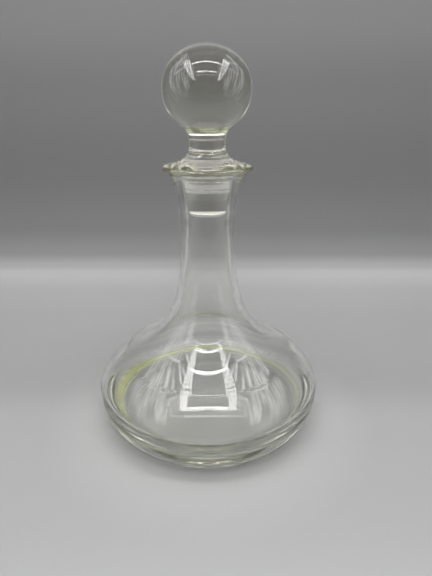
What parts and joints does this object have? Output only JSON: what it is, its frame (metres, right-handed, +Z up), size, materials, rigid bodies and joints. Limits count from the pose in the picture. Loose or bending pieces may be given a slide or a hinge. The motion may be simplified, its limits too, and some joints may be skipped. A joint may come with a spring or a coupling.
{
  "type": "glass decanter",
  "caption": "Broad, low clear-glass decanter with a slim flared neck, and a solid ball stopper whose flange covers the mouth.",
  "frame": {"origin": "on the table, at the centre of the foot ring", "axes": "+Z up along the decanter's axis, +Y away from the picture's camera, +X to the right"},
  "size_m": [0.1524, 0.1524, 0.2463],
  "materials": {
    "vessel_glass": "clear blown glass, fire polished, faint green tint at thick edges",
    "stopper_glass": "clear solid glass, polished, with a ground plug"
  },
  "bodies": {
    "vessel": {"decanter_body": "vessel_glass"},
    "stopper": {"stopper": "stopper_glass"}
  },
  "joints": [
    {"name": "stopper_lift", "type": "slide", "parent": "vessel", "child": "stopper", "axis": [0, 0, 1], "range_m": [0, 0.06]}
  ]
}
